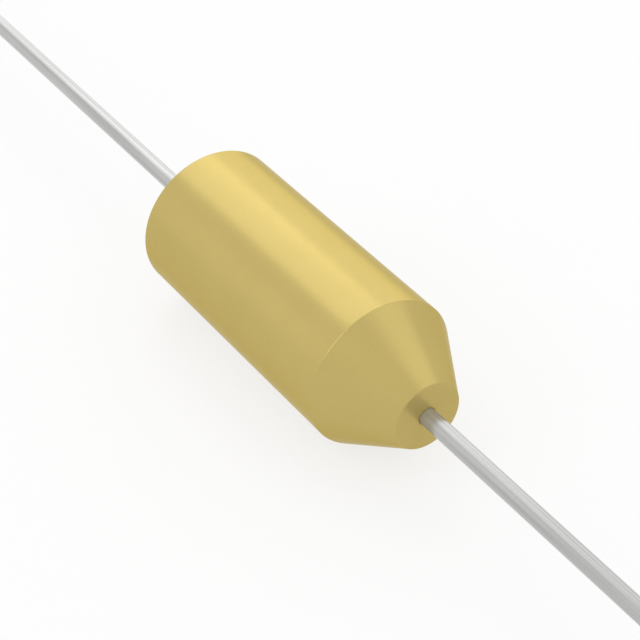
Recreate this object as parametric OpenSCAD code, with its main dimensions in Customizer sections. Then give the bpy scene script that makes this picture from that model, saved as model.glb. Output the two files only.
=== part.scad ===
// Axial tantalum capacitor. A moulded case with a tapered positive end seals in the
// anode, the layers on it and the inner ends of two round wire leads.
// The leads lie along X with the positive one towards +X, and the origin is on
// their axis, halfway along the case. Lengths are in millimetres.

/* [Moulded case] */
// Diameter of the case
case_d = 4.4; // [3.8:0.1:6]
// Length of the case, nose included
case_len = 10.5; // [9.5:0.1:14]
// Diameter of the flat face at the tip of the nose
nose_d = 2; // [1.4:0.1:2.8]
// Angle of the nose's taper, measured from the axis
nose_angle = 30; // [24:1:40]
// Radius on the outer edges of the case
edge_r = 0.05; // [0.02:0.01:0.12]
// Thickness of the moulding round the coated anode
side_wall = 0.54; // [0.3:0.02:0.8]

/* [Leads] */
// Diameter of both lead wires
lead_d = 0.51; // [0.4:0.01:0.6]
// Length of each lead outside the case
lead_len = 28.6; // [12:0.1:40]
// Length of plain wire just inside each end face of the case
lead_entry = 0.1; // [0:0.02:0.14]
// Depth of each nail head inside its end face
head_depth = 1.1; // [0.7:0.05:1.5]
// Diameter of the nail heads
head_d = 1.5; // [1.1:0.1:1.8]
// Thickness of the nail heads
head_t = 0.25; // [0.2:0.01:0.4]
// Diameter of the conical neck where it meets its nail head
neck_d = 0.9; // [0.65:0.05:1.05]

/* [Anode] */
// Length of the sintered slug
slug_len = 5.4; // [4:0.1:6.4]
// Chamfer that the press leaves on both edges of the slug
slug_chamfer = 0.12; // [0.04:0.02:0.3]
// Diameter of the tantalum riser wire
riser_d = 0.38; // [0.2:0.01:0.45]
// Depth of the riser wire in the slug
riser_depth = 3.2; // [1:0.1:3.6]
// Diameter of the insulating washer
washer_d = 1.3; // [0.8:0.1:2]
// Thickness of the insulating washer
washer_t = 0.25; // [0.15:0.01:0.4]

/* [Layers on the slug] */
// Thickness of the manganese dioxide layer
dioxide_t = 0.06; // [0.03:0.01:0.12]
// Thickness of the graphite layer
graphite_t = 0.04; // [0.02:0.01:0.1]
// Thickness of the silver layer
silver_t = 0.06; // [0.03:0.01:0.12]
// How far the graphite stops short of the slug's top
graphite_margin = 0.3; // [0.2:0.05:0.5]
// How far the silver stops short of the slug's top
silver_margin = 0.6; // [0.55:0.05:1.2]

/* [Joints] */
// Thickness of solder between the silver and the negative nail head
solder_gap = 0.1; // [0.04:0.01:0.2]
// How far the solder stops short of the slug's bottom chamfer
solder_margin = 0.2; // [0:0.05:0.4]
// Width of the solder rim round the back of the nail head
solder_rim = 0.06; // [0.03:0.01:0.1]
// How far the weld bead stands out round the riser
weld_bulge = 0.16; // [0.06:0.01:0.2]

/* [Hidden] */
$fn = 96;
// Steps along the solder's hollow surface
hollow_steps = 8;
// How far that surface sinks below a straight slope, 1 being right into the corner
solder_hollow = 0.7;
// How far a hole runs past the face that it opens
past = 1;

case_r = case_d / 2;
nose_r = nose_d / 2;
lead_r = lead_d / 2;
head_r = head_d / 2;
neck_r = neck_d / 2;
riser_r = riser_d / 2;
washer_r = washer_d / 2;

// How far the outside of each layer stands proud of the slug
dioxide_grow = dioxide_t;
graphite_grow = dioxide_grow + graphite_t;
silver_grow = graphite_grow + silver_t;
slug_r = case_r - side_wall - silver_grow;
solder_r = slug_r - slug_chamfer - solder_margin;

// Stations along X, from the negative end to the positive end
back_x = -case_len / 2;
nose_x = case_len / 2;
shoulder_x = nose_x - (case_r - nose_r) / tan(nose_angle);
head_back_x = back_x + head_depth;
silver_base_x = head_back_x + head_t + solder_gap;
slug_base_x = silver_base_x + silver_grow;
slug_top_x = slug_base_x + slug_len;
riser_end_x = nose_x - head_depth - head_t;

// A profile is drawn with the distance from the axis across and the station along X
// up. This turns it about the lead axis.
module turned() {
    rotate([0, 90, 0]) rotate_extrude() children();
}

// Profile of a round bar between two stations
module bar(r, from_x, to_x) {
    translate([0, from_x]) square([r, to_x - from_x]);
}

// An arc of radius r that rounds the corner at b, between a and c: where it starts,
// its centre and where it ends
function rounding(a, b, c, r) =
    let (
        to_a = (a - b) / norm(a - b),
        to_c = (c - b) / norm(c - b),
        half = acos(to_a * to_c) / 2
    )
    [b + to_a * r / tan(half), b + (to_a + to_c) / norm(to_a + to_c) * r / sin(half), b + to_c * r / tan(half)];

module case_outline() {
    axis_back = [0, back_x];
    back_edge = [case_r, back_x];
    shoulder = [case_r, shoulder_x];
    nose_edge = [nose_r, nose_x];
    axis_nose = [0, nose_x];
    roundings = [
        rounding(axis_back, back_edge, shoulder, edge_r),
        rounding(back_edge, shoulder, nose_edge, edge_r),
        rounding(shoulder, nose_edge, axis_nose, edge_r)
    ];
    polygon(concat([axis_back], [for (arc = roundings) each [arc[0], arc[2]]], [axis_nose]));
    for (arc = roundings) translate(arc[1]) circle(edge_r);
}

// A lead with its end face of the case at station 0 and its free end below that.
// Heading the wire leaves the conical neck, which locks it in the moulding.
module lead_outline() {
    polygon([
        [0, -lead_len], [lead_r, -lead_len], [lead_r, lead_entry], [neck_r, head_depth],
        [head_r, head_depth], [head_r, head_depth + head_t], [0, head_depth + head_t]
    ]);
}

module positive_outline() {
    translate([0, nose_x]) mirror([0, 1]) lead_outline();
}

module negative_outline() {
    translate([0, back_x]) lead_outline();
}

// The slug's outline grown by a layer. With top_x, the layer is a cup that ends there.
module pellet(grow, top_x = undef) {
    r = slug_r + grow;
    cut = slug_chamfer + grow * (2 - sqrt(2));
    base_x = slug_base_x - grow;
    end_x = slug_top_x + grow;
    top = is_undef(top_x) ? [[r, end_x - cut], [r - cut, end_x], [0, end_x]] : [[r, top_x], [0, top_x]];
    polygon(concat([[0, base_x], [r - cut, base_x], [r, base_x + cut]], top));
}

module graphite_outline() {
    pellet(graphite_grow, slug_top_x - graphite_margin);
}

module silver_outline() {
    pellet(silver_grow, slug_top_x - silver_margin);
}

module washer_outline() {
    bar(washer_r, slug_top_x, slug_top_x + washer_t);
}

module riser_outline() {
    bar(riser_r, slug_top_x - riser_depth, riser_end_x);
}

// The weld bead with the riser still in it
module weld_outline() {
    intersection() {
        translate([riser_r, riser_end_x]) circle(weld_bulge);
        bar(riser_r + weld_bulge, riser_end_x - weld_bulge, riser_end_x);
    }
}

// The solder with the nail head still in it: a hollow fillet from the silver up to
// the back of the head
module solder_outline() {
    foot = [solder_r, silver_base_x];
    rim = [head_r + solder_rim, head_back_x];
    corner = [rim.x, foot.y];
    pull = corner * solder_hollow + (foot + rim) / 2 * (1 - solder_hollow);
    surface = [for (i = [0 : hollow_steps])
        let (t = i / hollow_steps)
        foot * (1 - t) ^ 2 + pull * 2 * t * (1 - t) + rim * t ^ 2];
    polygon(concat([[0, silver_base_x]], surface, [[0, head_back_x]]));
}

// Gold-pigmented epoxy, moulded in one piece round everything but the leads' outer ends
module moulded_case() {
    color([0.8, 0.72, 0.43]) turned() difference() {
        case_outline();
        positive_outline();
        negative_outline();
        solder_outline();
        silver_outline();
        graphite_outline();
        pellet(dioxide_grow);
        washer_outline();
        riser_outline();
        weld_outline();
    }
}

// Tinned wire with an upset nail head, welded to the riser
module positive_lead() {
    color([0.8, 0.8, 0.81]) turned() positive_outline();
}

// Tinned wire with an upset nail head, soldered to the silver
module negative_lead() {
    color([0.8, 0.8, 0.81]) turned() negative_outline();
}

// Pressed and sintered tantalum powder
module anode_slug() {
    color([0.35, 0.36, 0.4]) turned() difference() {
        pellet(0);
        riser_outline();
    }
}

// Tantalum wire, sintered into the slug
module riser_wire() {
    color([0.45, 0.47, 0.52]) turned() riser_outline();
}

// Fluoropolymer ring that keeps the dioxide off the riser
module insulating_washer() {
    color([0.93, 0.93, 0.9]) turned() difference() {
        washer_outline();
        riser_outline();
    }
}

// The solid electrolyte, all over the slug up to the washer
module dioxide_layer() {
    color([0.16, 0.15, 0.15]) turned() difference() {
        pellet(dioxide_grow);
        pellet(0);
        bar(washer_r, slug_top_x - past, slug_top_x + past);
    }
}

// A cup of graphite over the dioxide
module graphite_layer() {
    color([0.24, 0.24, 0.26]) turned() difference() {
        graphite_outline();
        pellet(dioxide_grow);
    }
}

// A cup of silver paint over the graphite
module silver_layer() {
    color([0.72, 0.72, 0.7]) turned() difference() {
        silver_outline();
        graphite_outline();
        pellet(dioxide_grow);
    }
}

// The metal pushed out round the butt weld of riser and nail head
module weld_bead() {
    color([0.6, 0.6, 0.62]) turned() difference() {
        weld_outline();
        riser_outline();
    }
}

// Solder between the silver and the nail head, and round the head's rim
module solder_joint() {
    color([0.68, 0.69, 0.71]) turned() difference() {
        solder_outline();
        negative_outline();
    }
}

moulded_case();
positive_lead();
negative_lead();
anode_slug();
riser_wire();
insulating_washer();
dioxide_layer();
graphite_layer();
silver_layer();
weld_bead();
solder_joint();
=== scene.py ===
# %% [markdown]
# # An axial tantalum capacitor
#
# The real object is about a quarter of a gram of tantalum powder, pressed and
# sintered into a slug, coated, and moulded into a small round case of gold-coloured
# epoxy. A straight tinned wire leaves each end. One end of the case tapers to a
# nose: that end is the positive one, so that nobody solders the part in back to
# front.
#
# Everything here is a solid of revolution, so the whole lesson is about drawing
# good outlines and spinning them, and about two surfaces that live from what they
# reflect: a satin plastic full of gold pigment, and satin tin.
#
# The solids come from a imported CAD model. They are loaded first and never moved.

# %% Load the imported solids
import math

import bmesh
import bpy
from mathutils import Euler, Matrix, Vector
from mathutils.geometry import interpolate_bezier


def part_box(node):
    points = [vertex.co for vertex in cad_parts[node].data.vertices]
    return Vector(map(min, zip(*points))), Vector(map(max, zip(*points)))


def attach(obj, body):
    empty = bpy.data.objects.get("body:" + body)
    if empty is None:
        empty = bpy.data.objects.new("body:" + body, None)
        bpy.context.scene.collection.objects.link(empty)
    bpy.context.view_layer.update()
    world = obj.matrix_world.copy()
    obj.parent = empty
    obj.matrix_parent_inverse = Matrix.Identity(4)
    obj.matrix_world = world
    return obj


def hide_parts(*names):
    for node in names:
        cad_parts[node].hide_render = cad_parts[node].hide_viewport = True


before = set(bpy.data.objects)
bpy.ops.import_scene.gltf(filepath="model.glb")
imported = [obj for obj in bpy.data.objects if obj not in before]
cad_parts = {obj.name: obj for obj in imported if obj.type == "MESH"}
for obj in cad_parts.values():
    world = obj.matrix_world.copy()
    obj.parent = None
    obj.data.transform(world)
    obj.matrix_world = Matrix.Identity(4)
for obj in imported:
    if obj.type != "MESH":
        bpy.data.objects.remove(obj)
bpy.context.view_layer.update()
print("CAD nodes:", ", ".join(sorted(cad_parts)))

# %% [markdown]
# ## Units
#
# Blender works in metres here, but nobody thinks of a 4.4 mm case in metres. So
# each size is written in millimetres and multiplied by `MM` once.

# %% Units and sizes read from the solids
MM = 0.001

case_low, case_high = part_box("moulded_case")
lead_low, lead_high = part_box("positive_lead")
CASE_BACK = case_low.x
NOSE_FACE = case_high.x
HEAD_FRONT = lead_low.x
LEAD_END = lead_high.x


def radius_of(node):
    """Radius of a round solid on the X axis, taken where one of its points lies right below."""
    return -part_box(node)[0].z


CASE_RADIUS = radius_of("moulded_case")
HEAD_RADIUS = radius_of("positive_lead")
case_length = NOSE_FACE - CASE_BACK
print("case", round(2 * CASE_RADIUS / MM, 3), "mm across and", round(case_length / MM, 3), "mm long")

# %% [markdown]
# ## Camera
#
# The camera stands in front of the nose, to its right and above it, and looks down
# at 38 degrees. A long lens close to a small object still gives some perspective:
# the lead that comes forwards looks clearly thicker than the one behind the case.
# The near clipping distance has to be small, because the camera is only about five
# centimetres away.

# %% Camera
CAMERA_PLACE = Vector((35.057, -23.354, 32.756)) * MM
CAMERA_TURN = math.radians(56.05)
CAMERA_TILT = math.radians(38.13)
LENS_MM = 110.85

camera_data = bpy.data.cameras.new("camera")
camera_data.lens = LENS_MM
camera_data.sensor_width = 36
camera_data.clip_start = 1 * MM
camera_data.clip_end = 10
camera = bpy.data.objects.new("camera", camera_data)
camera.location = CAMERA_PLACE
camera.rotation_euler = (math.pi / 2 - CAMERA_TILT, 0, CAMERA_TURN)
bpy.context.scene.collection.objects.link(camera)
bpy.context.scene.camera = camera
print("camera is", round(CAMERA_PLACE.length / MM, 1), "mm from the middle of the case")

# %% [markdown]
# ## Outlines to spin
#
# A turned or moulded round piece is made from half of its cross-section. The
# outline is a chain of points, each with its station along the axis and its
# distance from it. `bmesh.ops.spin` sweeps the chain once round the X axis, and
# `use_merge` joins the last step to the first.
#
# Two things make such a mesh look real. A corner that a mould leaves is never quite
# sharp, so the corner's point is bevelled before the spin. And a flat face keeps
# flat shading next to a rounded corner only if it has an extra edge just beside
# the corner, which holds the normals still. `GUARD` is how far beside it lies.


# %% Spin an outline into a piece
SPIN_STEPS = 192
GUARD = 0.02 * MM
MERGE_WITHIN = 0.0005 * MM


def chain_of_points(outline, closed):
    """A bmesh that holds the outline as vertices joined by edges, in the XZ plane."""
    piece = bmesh.new()
    points = [piece.verts.new((station, 0, radius)) for station, radius in outline]
    for a, b in zip(points, points[1:] + points[:1] if closed else points[1:]):
        piece.edges.new((a, b))
    return piece


def round_corner(piece, station, radius, corner_radius, segments):
    """Rounds one corner of the outline and puts a guard point on each side of it."""
    corner = min(piece.verts, key=lambda v: (v.co - Vector((station, 0, radius))).length)
    ways = [edge.other_vert(corner).co - corner.co for edge in corner.link_edges]
    reach = corner_radius / math.tan(ways[0].angle(ways[1]) / 2)
    for edge in list(corner.link_edges):
        bmesh.utils.edge_split(edge, corner, (reach + GUARD) / edge.calc_length())
    bmesh.ops.bevel(
        piece, geom=[corner], offset=reach, offset_type="OFFSET", affect="VERTICES",
        segments=segments, profile=0.5, material=-1,
    )


def spin_round_axis(piece, name, material):
    """Sweeps the outline once round X, closes it and makes it an object."""
    bmesh.ops.spin(
        piece, geom=piece.verts[:] + piece.edges[:], cent=(0, 0, 0), axis=(1, 0, 0),
        angle=2 * math.pi, steps=SPIN_STEPS, use_merge=True,
    )
    bmesh.ops.remove_doubles(piece, verts=piece.verts[:], dist=MERGE_WITHIN)
    bmesh.ops.recalc_face_normals(piece, faces=piece.faces[:])
    for face in piece.faces:
        face.smooth = True
    open_edges = sum(1 for edge in piece.edges if len(edge.link_faces) != 2)
    mesh = bpy.data.meshes.new(name)
    piece.to_mesh(mesh)
    volume = piece.calc_volume() / MM**3
    piece.free()
    mesh.materials.append(material)
    spun = bpy.data.objects.new(name, mesh)
    bpy.context.scene.collection.objects.link(spun)
    print(name, len(mesh.polygons), "faces,", open_edges, "open edges,", round(volume, 2), "mm3")
    return spun


# %% [markdown]
# ## Materials
#
# A material here is a small tree of nodes. `add_node` makes one node, sets what it
# is told and links what it is given: a plain value goes on the socket, and another
# node's output is linked to it. `hex_colour` turns a colour as a painter would
# write it into the linear numbers that light is added up in.
#
# Most sockets are called by name. Math, Mix and Mix Shader have sockets that share a
# name, so those are called by number. On a Mix node 0 is the factor, 6 and 7 are the
# two colours, and output 2 is the mixed colour.
#
# All patterns read Object coordinates, which are metres from the middle of the
# case. A pattern whose features are `size` millimetres across therefore needs a
# scale of one over that size in metres, and `per_mm` works it out.


# %% Helpers for materials
def hex_colour(text):
    """Turns an sRGB hex colour into linear red, green, blue and alpha."""
    parts = [int(text[i:i + 2], 16) / 255 for i in (1, 3, 5)]
    linear = [c / 12.92 if c <= 0.04045 else ((c + 0.055) / 1.055) ** 2.4 for c in parts]
    return (*linear, 1)


def per_mm(size):
    """Texture scale that makes features `size` millimetres across."""
    return 1 / (size * MM)


def add_node(tree, kind, inputs=None, **settings):
    """Adds a node, applies its settings, and sets or links its inputs."""
    made = tree.nodes.new(kind)
    for name, value in settings.items():
        setattr(made, name, value)
    for socket, value in (inputs or {}).items():
        if isinstance(value, bpy.types.NodeSocket):
            tree.links.new(value, made.inputs[socket])
        else:
            made.inputs[socket].default_value = value
    return made


def start_material(name):
    """An empty material with its output node, and the piece's Object coordinates."""
    material = bpy.data.materials.new(name)
    material.use_nodes = True
    tree = material.node_tree
    tree.nodes.clear()
    output = add_node(tree, "ShaderNodeOutputMaterial")
    place = add_node(tree, "ShaderNodeTexCoord").outputs["Object"]
    return material, tree, output, place


print("a pattern of 1 mm needs a scale of", round(per_mm(1)))

# %% [markdown]
# ### Gold-pigmented epoxy
#
# The case is transfer-moulded from epoxy filled with fine silica and a gold
# pigment of thin metal flakes. The flakes lie flat along the mould's wall, so the
# surface gleams like satin metal: highlights take the colour of the pigment, also
# where one looks along the surface, and the mould's fine texture blurs them. A
# Principled shader that is half metallic does that, with a gold Specular Tint that
# keeps the grazing edge from turning white. The other half is plain matt colour.
# Pigment fills the skin up to its surface, so clear resin adds next to no gloss,
# and Specular IOR Level is low.
#
# Flakes are 10 to 50 micrometres across, too fine to show when the whole case is in
# view. They are drawn 60 micrometres wide and nearly alike in colour and gloss, so
# that they leave only the faintest grain, and the case looks even from afar.

# %% Gold-pigmented epoxy
FLAKE_MM = 0.06
MOTTLE_MM = 1.4
SKIN_MM = 0.09

case_epoxy, tree, output, place = start_material("gold_pigmented_epoxy")
flakes = add_node(tree, "ShaderNodeTexVoronoi", {"Vector": place, "Scale": per_mm(FLAKE_MM)})
flake_tone = add_node(tree, "ShaderNodeSeparateColor", {"Color": flakes.outputs["Color"]})
mottle = add_node(
    tree, "ShaderNodeTexNoise", {"Vector": place, "Scale": per_mm(MOTTLE_MM), "Detail": 3.0},
)
skin = add_node(
    tree, "ShaderNodeTexNoise", {"Vector": place, "Scale": per_mm(SKIN_MM), "Detail": 2.0},
)
resin_colour = add_node(
    tree, "ShaderNodeMix",
    {0: mottle.outputs["Fac"], 6: hex_colour("#BEAA68"), 7: hex_colour("#C4B06D")}, data_type="RGBA",
)
flake_share = add_node(
    tree, "ShaderNodeMapRange", {"Value": flake_tone.outputs["Red"], "To Min": 0.0, "To Max": 0.1},
)
pigment_colour = add_node(
    tree, "ShaderNodeMix",
    {0: flake_share.outputs["Result"], 6: resin_colour.outputs[2], 7: hex_colour("#D1BD78")},
    data_type="RGBA",
)
gleam = add_node(
    tree, "ShaderNodeMapRange", {"Value": flake_tone.outputs["Green"], "To Min": 0.275, "To Max": 0.285},
)
flake_tilt = add_node(
    tree, "ShaderNodeBump",
    {"Height": flake_tone.outputs["Blue"], "Strength": 0.04, "Distance": 0.01 * MM},
)
mould_texture = add_node(
    tree, "ShaderNodeBump",
    {"Height": skin.outputs["Fac"], "Strength": 0.06, "Distance": 0.01 * MM,
     "Normal": flake_tilt.outputs["Normal"]},
)
shader = add_node(
    tree, "ShaderNodeBsdfPrincipled",
    {"Base Color": pigment_colour.outputs[2], "Metallic": 0.5, "Roughness": gleam.outputs["Result"],
     "IOR": 1.5, "Specular IOR Level": 0.06, "Specular Tint": hex_colour("#D8CA8C"),
     "Normal": mould_texture.outputs["Normal"]},
)
tree.links.new(shader.outputs["BSDF"], output.inputs["Surface"])
print(case_epoxy.name, "has", len(tree.nodes), "nodes")

# %% [markdown]
# ### Tinned wire
#
# The leads are drawn through dies and then plated with tin. Drawing leaves fine
# lines along the wire, and the tin over them is satin and nearly neutral. Plated
# tin scatters much of the light in its grains, so the shader is only half metallic.
# The lines are drawn 80 micrometres wide, a few times the real ones, so that they
# still show as streaks along the wire.

# %% Tinned wire
DRAW_LINE_MM = 0.08
DRAW_RUN_MM = 6


def die_lines(tree, place):
    """The lines that a drawing die leaves: a noise that is stretched along the wire."""
    along, across = per_mm(DRAW_RUN_MM), per_mm(DRAW_LINE_MM)
    stretched = add_node(
        tree, "ShaderNodeMapping", {"Vector": place, "Scale": (along, across, across)},
    )
    return add_node(
        tree, "ShaderNodeTexNoise", {"Vector": stretched.outputs["Vector"], "Scale": 1.0, "Detail": 2.0},
    )


tinned_wire, tree, output, place = start_material("tinned_drawn_wire")
lines = die_lines(tree, place)
tin_colour = add_node(
    tree, "ShaderNodeMix",
    {0: lines.outputs["Fac"], 6: hex_colour("#9A9A99"), 7: hex_colour("#CBCBCA")}, data_type="RGBA",
)
tin_gleam = add_node(
    tree, "ShaderNodeMapRange", {"Value": lines.outputs["Fac"], "To Min": 0.16, "To Max": 0.28},
)
draw_lines = add_node(
    tree, "ShaderNodeBump", {"Height": lines.outputs["Fac"], "Strength": 0.3, "Distance": 0.005 * MM},
)
shader = add_node(
    tree, "ShaderNodeBsdfPrincipled",
    {"Base Color": tin_colour.outputs[2], "Metallic": 0.5, "Roughness": tin_gleam.outputs["Result"],
     "Normal": draw_lines.outputs["Normal"]},
)
tree.links.new(shader.outputs["BSDF"], output.inputs["Surface"])
print(tinned_wire.name, "has", len(tree.nodes), "nodes")

# %% [markdown]
# ## Leads
#
# Each lead is one wire. Its inner end is upset into a nail head, which leaves a
# conical neck, so that the moulding grips it. Its outer end is sheared off, with
# the edge just broken.

# %% Leads
LEAD_RADIUS = 0.255 * MM
LEAD_ENTRY = 0.1 * MM
HEAD_DEPTH = 1.1 * MM
HEAD_THICKNESS = 0.25 * MM
NECK_RADIUS = 0.45 * MM
CUT_EDGE = 0.03 * MM


def make_lead(name, side):
    """A lead along X on one side of the case: side is 1 for the nose, -1 for the back."""
    wire = chain_of_points([
        (HEAD_FRONT, 0), (HEAD_FRONT, HEAD_RADIUS),
        (HEAD_FRONT + HEAD_THICKNESS, HEAD_RADIUS), (HEAD_FRONT + HEAD_THICKNESS, NECK_RADIUS),
        (NOSE_FACE - LEAD_ENTRY, LEAD_RADIUS), (LEAD_END, LEAD_RADIUS), (LEAD_END, 0),
    ], closed=False)
    round_corner(wire, HEAD_FRONT, HEAD_RADIUS, CUT_EDGE, 3)
    round_corner(wire, HEAD_FRONT + HEAD_THICKNESS, HEAD_RADIUS, CUT_EDGE, 3)
    round_corner(wire, HEAD_FRONT + HEAD_THICKNESS, NECK_RADIUS, CUT_EDGE, 3)
    round_corner(wire, NOSE_FACE - LEAD_ENTRY, LEAD_RADIUS, CUT_EDGE, 2)
    round_corner(wire, LEAD_END, LEAD_RADIUS, CUT_EDGE, 4)
    if side < 0:
        bmesh.ops.transform(wire, matrix=Matrix.Scale(-1, 4, (1, 0, 0)), verts=wire.verts[:])
    lead = spin_round_axis(wire, name, tinned_wire)
    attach(lead, "root")
    return lead


positive_wire = make_lead("positive_wire", 1)
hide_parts("positive_lead")
negative_wire = make_lead("negative_wire", -1)
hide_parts("negative_lead")

# %% [markdown]
# ## Moulded case
#
# The epoxy is moulded round the finished element, so its inside is the outside of
# everything it holds: both necks and nail heads, the weld, the riser, the washer,
# the coated slug and the solder. One closed outline runs along the outside and
# comes back along that cavity, and one spin turns it into a shell as thick as the
# real moulding. Nobody sees the inside, but a cut through the mesh then shows a
# wall and not an empty skin.

# %% Outline of the moulded case
NOSE_RADIUS = 1.0 * MM
NOSE_TAPER = math.radians(30)
EDGE_RADIUS = 0.05 * MM
BORE_EDGE = 0.02 * MM
SOLDER_RIM = 0.06 * MM
SOLDER_HOLLOW = 0.7
HOLLOW_POINTS = 9
SLUG_CHAMFER = 0.12 * MM

shoulder = NOSE_FACE - (CASE_RADIUS - NOSE_RADIUS) / math.tan(NOSE_TAPER)
riser_radius, washer_radius = radius_of("riser_wire"), radius_of("insulating_washer")
weld_radius, solder_radius = radius_of("weld_bead"), radius_of("solder_joint")
dioxide_radius, graphite_radius = radius_of("dioxide_layer"), radius_of("graphite_layer")
silver_radius = radius_of("silver_layer")
weld_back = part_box("weld_bead")[0].x
washer_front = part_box("insulating_washer")[1].x
dioxide_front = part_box("dioxide_layer")[1].x
graphite_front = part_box("graphite_layer")[1].x
silver_back, silver_front = (corner.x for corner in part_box("silver_layer"))


def chamfer_of(layer):
    """A layer of even thickness round the slug's chamfer has a slightly longer one."""
    thickness = radius_of(layer) - radius_of("anode_slug")
    return SLUG_CHAMFER + thickness * (2 - math.sqrt(2))


foot = Vector((silver_back, 0, solder_radius))
rim = Vector((-HEAD_FRONT - HEAD_THICKNESS, 0, HEAD_RADIUS + SOLDER_RIM))
pull = Vector((foot.x, 0, rim.z)).lerp((foot + rim) / 2, 1 - SOLDER_HOLLOW)
hollow = interpolate_bezier(foot, foot.lerp(pull, 2 / 3), rim.lerp(pull, 2 / 3), rim, HOLLOW_POINTS)

outside = [
    (CASE_BACK, LEAD_RADIUS), (CASE_BACK, CASE_RADIUS), (shoulder, CASE_RADIUS),
    (NOSE_FACE, NOSE_RADIUS), (NOSE_FACE, LEAD_RADIUS),
]
round_the_positive_lead = [
    (NOSE_FACE - LEAD_ENTRY, LEAD_RADIUS), (HEAD_FRONT + HEAD_THICKNESS, NECK_RADIUS),
    (HEAD_FRONT + HEAD_THICKNESS, HEAD_RADIUS), (HEAD_FRONT, HEAD_RADIUS),
]
round_the_riser = [
    (HEAD_FRONT, weld_radius), (weld_back, weld_radius), (weld_back, riser_radius),
    (washer_front, riser_radius), (washer_front, washer_radius), (dioxide_front, washer_radius),
]
dioxide_chamfer, silver_chamfer = chamfer_of("dioxide_layer"), chamfer_of("silver_layer")
round_the_slug = [
    (dioxide_front, dioxide_radius - dioxide_chamfer), (dioxide_front - dioxide_chamfer, dioxide_radius),
    (graphite_front, dioxide_radius), (graphite_front, graphite_radius),
    (silver_front, graphite_radius), (silver_front, silver_radius),
    (silver_back + silver_chamfer, silver_radius), (silver_back, silver_radius - silver_chamfer),
]
round_the_negative_lead = [
    (-HEAD_FRONT - HEAD_THICKNESS, NECK_RADIUS), (CASE_BACK + LEAD_ENTRY, LEAD_RADIUS),
]
case_outline = (
    outside + round_the_positive_lead + round_the_riser + round_the_slug
    + [(point.x, point.z) for point in hollow] + round_the_negative_lead
)
print("shoulder is", round(shoulder / MM, 3), "mm from the middle")
print("the case's outline has", len(case_outline), "points")

# %% Moulded case
moulding = chain_of_points(case_outline, closed=True)
for station, radius in ((CASE_BACK, CASE_RADIUS), (shoulder, CASE_RADIUS), (NOSE_FACE, NOSE_RADIUS)):
    round_corner(moulding, station, radius, EDGE_RADIUS, 8)
for station in (CASE_BACK, NOSE_FACE):
    round_corner(moulding, station, LEAD_RADIUS, BORE_EDGE, 4)
weld_corner = min(moulding.verts, key=lambda v: (v.co - Vector((weld_back, 0, weld_radius))).length)
bmesh.ops.bevel(
    moulding, geom=[weld_corner], offset=weld_radius - riser_radius, offset_type="OFFSET",
    affect="VERTICES", segments=12, profile=0.5, material=-1,
)
case_shell = spin_round_axis(moulding, "case_moulding", case_epoxy)
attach(case_shell, "root")
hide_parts("moulded_case")

# %% [markdown]
# ## What the moulding hides
#
# The eight inner pieces keep their CAD meshes, which are right as they are. They
# only need the finish of the real ones, for whoever opens the case or uses a piece
# alone. `dress` puts a material on all slots of a CAD piece.


# %% Dress a CAD piece
def dress(node, material):
    """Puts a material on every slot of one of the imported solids."""
    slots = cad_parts[node].material_slots
    for place_for_material in slots:
        place_for_material.material = material
    print(node, "wears", material.name, "on", len(slots), "slot")


# %% [markdown]
# ### Sintered tantalum
#
# The slug is tantalum powder, pressed with a binder and sintered in vacuum until
# its grains just join. It stays porous, so it looks like fine dark sandstone: a
# metal, but matt, with a grain every few hundredths of a millimetre. The grain is
# drawn 50 micrometres wide, about five times the real one.

# %% Sintered tantalum
POWDER_MM = 0.05

sintered_tantalum, tree, output, place = start_material("sintered_tantalum")
grains = add_node(tree, "ShaderNodeTexVoronoi", {"Vector": place, "Scale": per_mm(POWDER_MM)})
grain_colour = add_node(
    tree, "ShaderNodeMix",
    {0: grains.outputs["Distance"], 6: hex_colour("#6A6B72"), 7: hex_colour("#4C4D53")},
    data_type="RGBA",
)
pores = add_node(
    tree, "ShaderNodeBump",
    {"Height": grains.outputs["Distance"], "Strength": 0.6, "Distance": 0.02 * MM}, invert=True,
)
shader = add_node(
    tree, "ShaderNodeBsdfPrincipled",
    {"Base Color": grain_colour.outputs[2], "Metallic": 0.8, "Roughness": 0.7,
     "Normal": pores.outputs["Normal"]},
)
tree.links.new(shader.outputs["BSDF"], output.inputs["Surface"])
dress("anode_slug", sintered_tantalum)

# %% [markdown]
# ### Tantalum wire
#
# Tantalum is a blue-grey metal. The riser is drawn like the leads but never
# plated, so it is darker than they are and shows the same kind of lines.

# %% Tantalum wire
tantalum_wire, tree, output, place = start_material("drawn_tantalum_wire")
lines = die_lines(tree, place)
tantalum_colour = add_node(
    tree, "ShaderNodeMix",
    {0: lines.outputs["Fac"], 6: hex_colour("#797D87"), 7: hex_colour("#8A8E97")}, data_type="RGBA",
)
draw_lines = add_node(
    tree, "ShaderNodeBump", {"Height": lines.outputs["Fac"], "Strength": 0.4, "Distance": 0.004 * MM},
)
shader = add_node(
    tree, "ShaderNodeBsdfPrincipled",
    {"Base Color": tantalum_colour.outputs[2], "Metallic": 1.0, "Roughness": 0.34,
     "Normal": draw_lines.outputs["Normal"]},
)
tree.links.new(shader.outputs["BSDF"], output.inputs["Surface"])
dress("riser_wire", tantalum_wire)

# %% [markdown]
# ### Fluoropolymer
#
# The washer is punched from skived sheet of the same polymer that coats pans. It
# is white and waxy: light goes a little way in, and the sheen is soft. Skiving
# leaves very shallow waves about 0.2 mm apart.

# %% Fluoropolymer
SKIVE_MM = 0.2

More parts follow.
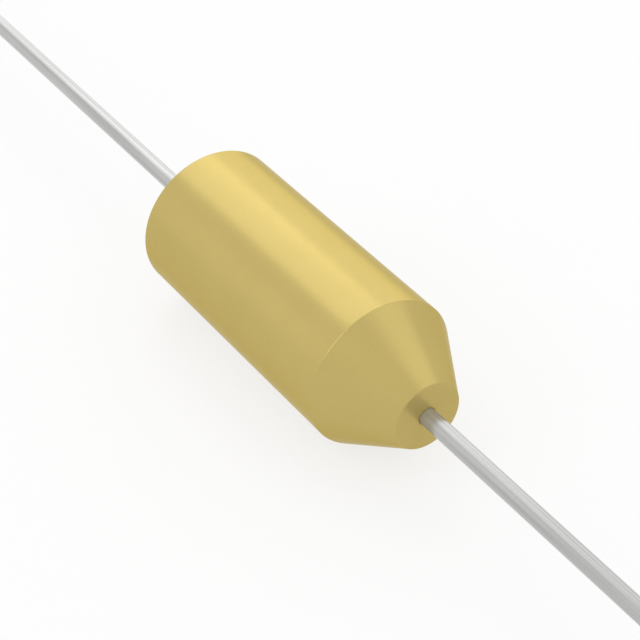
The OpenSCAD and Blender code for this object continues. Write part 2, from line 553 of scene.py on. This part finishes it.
fluoropolymer, tree, output, place = start_material("skived_fluoropolymer")
waves = add_node(
    tree, "ShaderNodeTexNoise", {"Vector": place, "Scale": per_mm(SKIVE_MM), "Detail": 1.0},
)
wax_colour = add_node(
    tree, "ShaderNodeMix",
    {0: waves.outputs["Fac"], 6: hex_colour("#F2F1EC"), 7: hex_colour("#EAE9E3")}, data_type="RGBA",
)
skiving = add_node(
    tree, "ShaderNodeBump", {"Height": waves.outputs["Fac"], "Strength": 0.2, "Distance": 0.01 * MM},
)
shader = add_node(
    tree, "ShaderNodeBsdfPrincipled",
    {"Base Color": wax_colour.outputs[2], "Roughness": 0.42, "IOR": 1.36, "Subsurface Weight": 0.2,
     "Subsurface Scale": 0.1 * MM, "Normal": skiving.outputs["Normal"]},
)
tree.links.new(shader.outputs["BSDF"], output.inputs["Surface"])
dress("insulating_washer", fluoropolymer)

# %% [markdown]
# ### Manganese dioxide
#
# The slug is dipped in manganese nitrate and baked, again and again, until a black
# crust of manganese dioxide covers it. Its crystals are tiny and give no gloss.

# %% Manganese dioxide
CRYSTAL_MM = 0.035

manganese_dioxide, tree, output, place = start_material("baked_manganese_dioxide")
crystals = add_node(tree, "ShaderNodeTexVoronoi", {"Vector": place, "Scale": per_mm(CRYSTAL_MM)})
crust_colour = add_node(
    tree, "ShaderNodeMix",
    {0: crystals.outputs["Distance"], 6: hex_colour("#2B2826"), 7: hex_colour("#1C1A19")},
    data_type="RGBA",
)
crust = add_node(
    tree, "ShaderNodeBump",
    {"Height": crystals.outputs["Distance"], "Strength": 0.7, "Distance": 0.01 * MM},
)
shader = add_node(
    tree, "ShaderNodeBsdfPrincipled",
    {"Base Color": crust_colour.outputs[2], "Roughness": 0.85, "IOR": 1.6,
     "Normal": crust.outputs["Normal"]},
)
tree.links.new(shader.outputs["BSDF"], output.inputs["Surface"])
dress("dioxide_layer", manganese_dioxide)

# %% [markdown]
# ### Graphite
#
# Graphite is put on as a watery paste and dried. It is dull dark grey, with the
# greasy sheen of a pencil line where the flakes lie flat.

# %% Graphite
GRAPHITE_FLAKE_MM = 0.08

graphite, tree, output, place = start_material("dried_graphite")
sheets = add_node(
    tree, "ShaderNodeTexNoise", {"Vector": place, "Scale": per_mm(GRAPHITE_FLAKE_MM), "Detail": 3.0},
)
graphite_colour = add_node(
    tree, "ShaderNodeMix",
    {0: sheets.outputs["Fac"], 6: hex_colour("#37373A"), 7: hex_colour("#48484C")}, data_type="RGBA",
)
greasy = add_node(
    tree, "ShaderNodeMapRange", {"Value": sheets.outputs["Fac"], "To Min": 0.62, "To Max": 0.42},
)
dried_paste = add_node(
    tree, "ShaderNodeBump", {"Height": sheets.outputs["Fac"], "Strength": 0.3, "Distance": 0.01 * MM},
)
shader = add_node(
    tree, "ShaderNodeBsdfPrincipled",
    {"Base Color": graphite_colour.outputs[2], "Metallic": 0.4, "Roughness": greasy.outputs["Result"],
     "Normal": dried_paste.outputs["Normal"]},
)
tree.links.new(shader.outputs["BSDF"], output.inputs["Surface"])
dress("graphite_layer", graphite)

# %% [markdown]
# ### Silver paint
#
# Silver flakes in a little binder make the outer contact. The paint is pale, warm
# grey and satin. It is dipped, so it has soft runs a few tenths of a millimetre
# wide besides its fine flake.

# %% Silver paint
SILVER_FLAKE_MM = 0.04
RUN_MM = 0.6

silver_paint, tree, output, place = start_material("dipped_silver_paint")
silver_flakes = add_node(
    tree, "ShaderNodeTexVoronoi", {"Vector": place, "Scale": per_mm(SILVER_FLAKE_MM)},
)
silver_tone = add_node(tree, "ShaderNodeSeparateColor", {"Color": silver_flakes.outputs["Color"]})
runs = add_node(
    tree, "ShaderNodeTexNoise", {"Vector": place, "Scale": per_mm(RUN_MM), "Detail": 1.0},
)
paint_colour = add_node(
    tree, "ShaderNodeMix",
    {0: silver_tone.outputs["Red"], 6: hex_colour("#B9B8B2"), 7: hex_colour("#CAC9C3")},
    data_type="RGBA",
)
satin = add_node(
    tree, "ShaderNodeMapRange", {"Value": silver_tone.outputs["Green"], "To Min": 0.38, "To Max": 0.5},
)
paint_runs = add_node(
    tree, "ShaderNodeBump", {"Height": runs.outputs["Fac"], "Strength": 0.3, "Distance": 0.03 * MM},
)
shader = add_node(
    tree, "ShaderNodeBsdfPrincipled",
    {"Base Color": paint_colour.outputs[2], "Metallic": 0.85, "Roughness": satin.outputs["Result"],
     "Normal": paint_runs.outputs["Normal"]},
)
tree.links.new(shader.outputs["BSDF"], output.inputs["Surface"])
dress("silver_layer", silver_paint)

# %% [markdown]
# ### Weld metal
#
# A butt weld presses two hot ends together, and a ring of soft metal is pushed out.
# It sets smooth, and the heat leaves a thin oxide that tints it from straw to blue.

# %% Weld metal
TINT_MM = 0.15

weld_metal, tree, output, place = start_material("heat_tinted_weld")
heat = add_node(
    tree, "ShaderNodeTexNoise", {"Vector": place, "Scale": per_mm(TINT_MM), "Detail": 1.0},
)
straw_to_blue = add_node(tree, "ShaderNodeValToRGB", {"Fac": heat.outputs["Fac"]})
straw, blue = straw_to_blue.color_ramp.elements
straw.position, straw.color = 0.35, hex_colour("#B9AE98")
blue.position, blue.color = 0.7, hex_colour("#9AA0AE")
molten_skin = add_node(
    tree, "ShaderNodeBump", {"Height": heat.outputs["Fac"], "Strength": 0.2, "Distance": 0.01 * MM},
)
shader = add_node(
    tree, "ShaderNodeBsdfPrincipled",
    {"Base Color": straw_to_blue.outputs["Color"], "Metallic": 1.0, "Roughness": 0.28,
     "Normal": molten_skin.outputs["Normal"]},
)
tree.links.new(shader.outputs["BSDF"], output.inputs["Surface"])
dress("weld_bead", weld_metal)

# %% [markdown]
# ### Solder
#
# The solder wets silver and nail head alike and sets bright. As it freezes, its
# skin wrinkles very slightly, over about a third of a millimetre.

# %% Solder
WRINKLE_MM = 0.3

solder, tree, output, place = start_material("reflowed_solder")
wrinkles = add_node(
    tree, "ShaderNodeTexNoise", {"Vector": place, "Scale": per_mm(WRINKLE_MM), "Detail": 2.0},
)
solder_colour = add_node(
    tree, "ShaderNodeMix",
    {0: wrinkles.outputs["Fac"], 6: hex_colour("#BFC1C4"), 7: hex_colour("#CFD1D3")},
    data_type="RGBA",
)
solder_gleam = add_node(
    tree, "ShaderNodeMapRange", {"Value": wrinkles.outputs["Fac"], "To Min": 0.14, "To Max": 0.24},
)
frozen_skin = add_node(
    tree, "ShaderNodeBump",
    {"Height": wrinkles.outputs["Fac"], "Strength": 0.25, "Distance": 0.02 * MM},
)
shader = add_node(
    tree, "ShaderNodeBsdfPrincipled",
    {"Base Color": solder_colour.outputs[2], "Metallic": 1.0, "Roughness": solder_gleam.outputs["Result"],
     "Normal": frozen_skin.outputs["Normal"]},
)
tree.links.new(shader.outputs["BSDF"], output.inputs["Surface"])
dress("solder_joint", solder)

# %% [markdown]
# ## Floor
#
# The capacitor lies on a big sheet of matt white paper that touches the underside
# of its case. Lit paper is never quite white in a picture, so the paper is blended
# with a plain white glow, for the camera and for what mirrors or lets it through.
# The lit part keeps the soft shadow. The glow is seen and mirrored, but it lights
# nothing.

# %% Floor
FLOOR_RADIUS = 3.0
PAPER_GRAIN_MM = 0.8
PAPER_GLOW = 0.75

paper, tree, output, place = start_material("white_paper")
grain = add_node(
    tree, "ShaderNodeTexNoise", {"Vector": place, "Scale": per_mm(PAPER_GRAIN_MM), "Detail": 2.0},
)
paper_colour = add_node(
    tree, "ShaderNodeMix",
    {0: grain.outputs["Fac"], 6: hex_colour("#F5F5F5"), 7: hex_colour("#F7F7F7")}, data_type="RGBA",
)
lit_paper = add_node(tree, "ShaderNodeBsdfDiffuse", {"Color": paper_colour.outputs[2]})
white = add_node(tree, "ShaderNodeEmission", {"Color": hex_colour("#FFFFFF"), "Strength": 1.0})
ray = add_node(tree, "ShaderNodeLightPath")
mirrored = add_node(
    tree, "ShaderNodeMath", {0: ray.outputs["Is Glossy Ray"], 1: ray.outputs["Is Transmission Ray"]},
    operation="MAXIMUM",
)
viewed = add_node(
    tree, "ShaderNodeMath", {0: ray.outputs["Is Camera Ray"], 1: PAPER_GLOW}, operation="MULTIPLY",
)
glow = add_node(
    tree, "ShaderNodeMath", {0: viewed.outputs[0], 1: mirrored.outputs[0]}, operation="MAXIMUM",
)
blend = add_node(
    tree, "ShaderNodeMixShader", {0: glow.outputs[0], 1: lit_paper.outputs[0], 2: white.outputs[0]},
)
tree.links.new(blend.outputs[0], output.inputs["Surface"])

sheet = bmesh.new()
bmesh.ops.create_circle(sheet, cap_ends=True, segments=96, radius=FLOOR_RADIUS)
bmesh.ops.translate(sheet, verts=sheet.verts[:], vec=(0, 0, -CASE_RADIUS))
floor_mesh = bpy.data.meshes.new("floor")
sheet.to_mesh(floor_mesh)
sheet.free()
floor_mesh.materials.append(paper)
floor = bpy.data.objects.new("floor", floor_mesh)
bpy.context.scene.collection.objects.link(floor)
print("floor is", round(-CASE_RADIUS / MM, 2), "mm below the axis")

# %% [markdown]
# ## Studio
#
# A shiny round piece shows the room as stripes, so the lamps are chosen by what
# they draw on it. An even white surround comes first. It lights with less than full
# strength, because the lamps add theirs, but it is seen and mirrored as white.
# Then come soft boxes, placed by where the case mirrors them: a key above and
# behind it with a lower one beside it for the bright stripe on its shoulder, one
# over the front for the stripe on the nose, and two for the paler near side.
#
# The brightness of a box is given on the scale on which white paper in full light
# is 1, and a lamp's power follows from that and its area. An azimuth of 0 is in
# front of the nose and 90 is to the left of it, as seen from the case.

# %% Surround
SURROUND_LIGHT = 0.75

scene = bpy.context.scene
scene.view_settings.view_transform = "Standard"
world = bpy.data.worlds.new("studio")
scene.world = world
world.use_nodes = True
sky = world.node_tree
sky.nodes.clear()
ray = add_node(sky, "ShaderNodeLightPath")
mirrored = add_node(
    sky, "ShaderNodeMath", {0: ray.outputs["Is Glossy Ray"], 1: ray.outputs["Is Transmission Ray"]},
    operation="MAXIMUM",
)
seen = add_node(
    sky, "ShaderNodeMath", {0: ray.outputs["Is Camera Ray"], 1: mirrored.outputs[0]},
    operation="MAXIMUM",
)
strength = add_node(
    sky, "ShaderNodeMapRange", {"Value": seen.outputs[0], "To Min": SURROUND_LIGHT, "To Max": 1.0},
)
surround = add_node(
    sky, "ShaderNodeBackground", {"Color": hex_colour("#FFFFFF"), "Strength": strength.outputs["Result"]},
)
add_node(sky, "ShaderNodeOutputWorld", {"Surface": surround.outputs[0]})
print("the surround lights with", SURROUND_LIGHT)


# %% Soft boxes
BOX_DISTANCE = 0.4


def softbox(name, azimuth, elevation, width, height, brightness):
    """A rectangular lamp that faces the case, in a direction given in degrees."""
    lamp_data = bpy.data.lights.new(name, "AREA")
    lamp_data.shape = "RECTANGLE"
    lamp_data.size, lamp_data.size_y = width, height
    lamp_data.energy = brightness * math.pi * width * height
    lamp = bpy.data.objects.new(name, lamp_data)
    way = Vector((0, 0, 1))
    way.rotate(Euler((0, math.radians(90 - elevation), math.radians(azimuth))))
    lamp.location = way * BOX_DISTANCE
    lamp.rotation_mode = "QUATERNION"
    lamp.rotation_quaternion = way.to_track_quat("Z", "Y")
    bpy.context.scene.collection.objects.link(lamp)
    print(name, "gives", round(lamp_data.energy, 3), "W")


softbox("key", 170, 47, 0.30, 0.20, 1.03)
softbox("low_key", 145, 20, 0.35, 0.30, 0.83)
softbox("nose_fill", 52, 55, 0.46, 0.24, 0.50)
softbox("side", -100, 45, 0.18, 0.30, 1.4)
softbox("low_side", -135, 14, 0.15, 0.20, 0.135)
